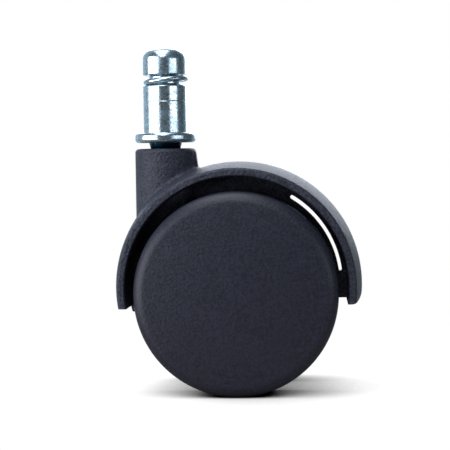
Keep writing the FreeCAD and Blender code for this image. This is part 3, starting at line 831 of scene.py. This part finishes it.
def floor_material():
    """White floor with a painted contact shadow: darker where the object stands close over it, fading out
    further away.

    It glows in place of being lit. The glow follows how open the floor is above, plus a lean of painted
    light that makes it paler to the left and to the rear, and it is dimmer as a light than to the camera.
    """
    fade_start, fade_end = 0.06, 0.16
    shadow_reach = 0.04
    lean_x, lean_y, lean_limit = -3.5, 3.0, 0.12
    dark_at, pale_at = 0.09, 0.60
    full_glow = 1.05
    glow_as_light = 0.25
    material = bpy.data.materials.new("floor_white")
    tree = emptied(material)
    where = tree.add("ShaderNodeTexCoord").outputs["Object"]
    run = tree.add("ShaderNodeVectorMath", operation="LENGTH")
    tree.feed(where, run.inputs[0])
    fade = tree.spread(run.outputs["Value"], fade_start, fade_end)
    # painted contact shadow: the glow is cut where ambient occlusion finds the object close above
    openness = tree.add("ShaderNodeAmbientOcclusion", samples=16, Distance=shadow_reach).outputs["AO"]
    place = tree.add("ShaderNodeSeparateXYZ", Vector=where).outputs
    # painted light: a lean that makes the floor paler to the left and to the rear
    sideways = tree.math("MULTIPLY", place["X"], lean_x)
    slope = tree.math("ADD", sideways, tree.math("MULTIPLY", place["Y"], lean_y))
    painted_light_lean = tree.spread(slope, -lean_limit, lean_limit, -lean_limit, lean_limit)
    painted_shadow_glow = tree.spread(tree.math("ADD", openness, painted_light_lean), dark_at, pale_at, 0.0, full_glow)
    camera_ray = tree.add("ShaderNodeLightPath").outputs["Is Camera Ray"]
    seen = tree.spread(camera_ray, 0.0, 1.0, glow_as_light, 1.0)
    glow = tree.add("ShaderNodeEmission", Strength=tree.math("MULTIPLY", painted_shadow_glow, seen))
    clear = tree.add("ShaderNodeBsdfTransparent")
    tree.add("ShaderNodeOutputMaterial", Surface=mix_shaders(tree, fade, glow, clear))
    return material


def add_floor():
    """Square floor under the object, centred on it."""
    half = 0.5
    corners = [(-half, -half, 0), (half, -half, 0), (half, half, 0), (-half, half, 0)]
    mesh = bpy.data.meshes.new("floor")
    mesh.from_pydata(corners, [], [(0, 1, 2, 3)])
    mesh.materials.append(floor_material())
    floor = bpy.data.objects.new("floor", mesh)
    floor.location = ((CAD_BOX[0][0] + CAD_BOX[1][0]) / 2, 0, CAD_BOX[0][2])
    bpy.context.scene.collection.objects.link(floor)


def studio_camera(studio):
    """Camera that looks at its aim from the studio's angles: azimuth from -Y, elevation from level."""
    camera = bpy.data.cameras.new("camera")
    camera.lens = studio.lens
    camera.shift_x, camera.shift_y = studio.shift
    camera.clip_start, camera.clip_end = 0.01, 10
    holder = bpy.data.objects.new("camera", camera)
    a, e = studio.azimuth, studio.elevation
    back = Vector((math.sin(a) * math.cos(e), -math.cos(a) * math.cos(e), math.sin(e)))
    turn = back.to_track_quat("Z", "Y").to_matrix() @ Matrix.Rotation(studio.roll, 3, "Z")
    place = Vector(studio.aim) + back * studio.distance
    holder.matrix_world = Matrix.Translation(place) @ turn.to_4x4()
    bpy.context.scene.collection.objects.link(holder)
    bpy.context.scene.camera = holder


class CASTER_OT_studio(bpy.types.Operator):
    """Set up the plain pale floor, the soft lights and the camera"""

    bl_idname = "caster.studio"
    bl_label = "Studio"

    def execute(self, context):
        studio = context.scene.caster_studio
        add_floor()
        context.scene.world = studio_world(studio)
        # Radiance, place, point faced, and width and height
        lights = {
            "overhead": (studio.key, (-0.07, -0.46, 0.46), (-0.07, -0.46, 0), (0.32, 1.2)),
            "left_box": (studio.left, (-0.42, -0.27, 0.03), (0, 0, 0.01), (0.59, 0.40)),
            "right_strip": (studio.right, (0.40, -0.30, 0.035), (0, 0, 0.01), (0.36, 0.10)),
            "back_box": (studio.back, (0.05, 0.60, 0.22), (0.02, 0, -0.02), (0.55, 0.45)),
        }
        for name, (radiance, place, aim, size) in lights.items():
            softbox(name, radiance, studio.light_tint, place, aim, size)
        context.scene.view_settings.view_transform = "Standard"
        studio_camera(studio)
        return {"FINISHED"}


# Panel and registration

STEPS = (
    CASTER_OT_stem,
    CASTER_OT_grip_ring,
    CASTER_OT_wheel_covers,
    CASTER_OT_packed_pieces,
    CASTER_OT_studio,
)


class CASTER_PT_panel(bpy.types.Panel):
    """Sidebar panel with every step and every setting"""

    bl_idname = "CASTER_PT_panel"
    bl_label = "Chair Caster"
    bl_space_type = "VIEW_3D"
    bl_region_type = "UI"
    bl_category = "Caster"

    def draw(self, context):
        for step in STEPS:
            self.layout.operator(step.bl_idname)
        for name, settings in SETTINGS.items():
            for setting in settings.__annotations__:
                self.layout.prop(getattr(context.scene, name), setting)


SETTINGS = {
    "caster_stem": CasterStemSizes,
    "caster_wheels": CasterWheelSizes,
    "caster_finishes": CasterFinishes,
    "caster_studio": CasterStudio,
}


def register():
    """Adds the settings, the operators and the panel to Blender."""
    for name, group in SETTINGS.items():
        bpy.utils.register_class(group)
        setattr(bpy.types.Scene, name, PointerProperty(type=group))
    for step in (*STEPS, CASTER_PT_panel):
        bpy.utils.register_class(step)


def unregister():
    """Takes the panel, the operators and the settings away again."""
    for step in reversed((*STEPS, CASTER_PT_panel)):
        bpy.utils.unregister_class(step)
    for name, group in SETTINGS.items():
        delattr(bpy.types.Scene, name)
        bpy.utils.unregister_class(group)


def main():
    """Builds every piece and the studio."""
    register()
    bpy.ops.caster.stem()
    bpy.ops.caster.grip_ring()
    bpy.ops.caster.wheel_covers()
    bpy.ops.caster.packed_pieces()
    bpy.ops.caster.studio()


if __name__ == "__main__":
    main()
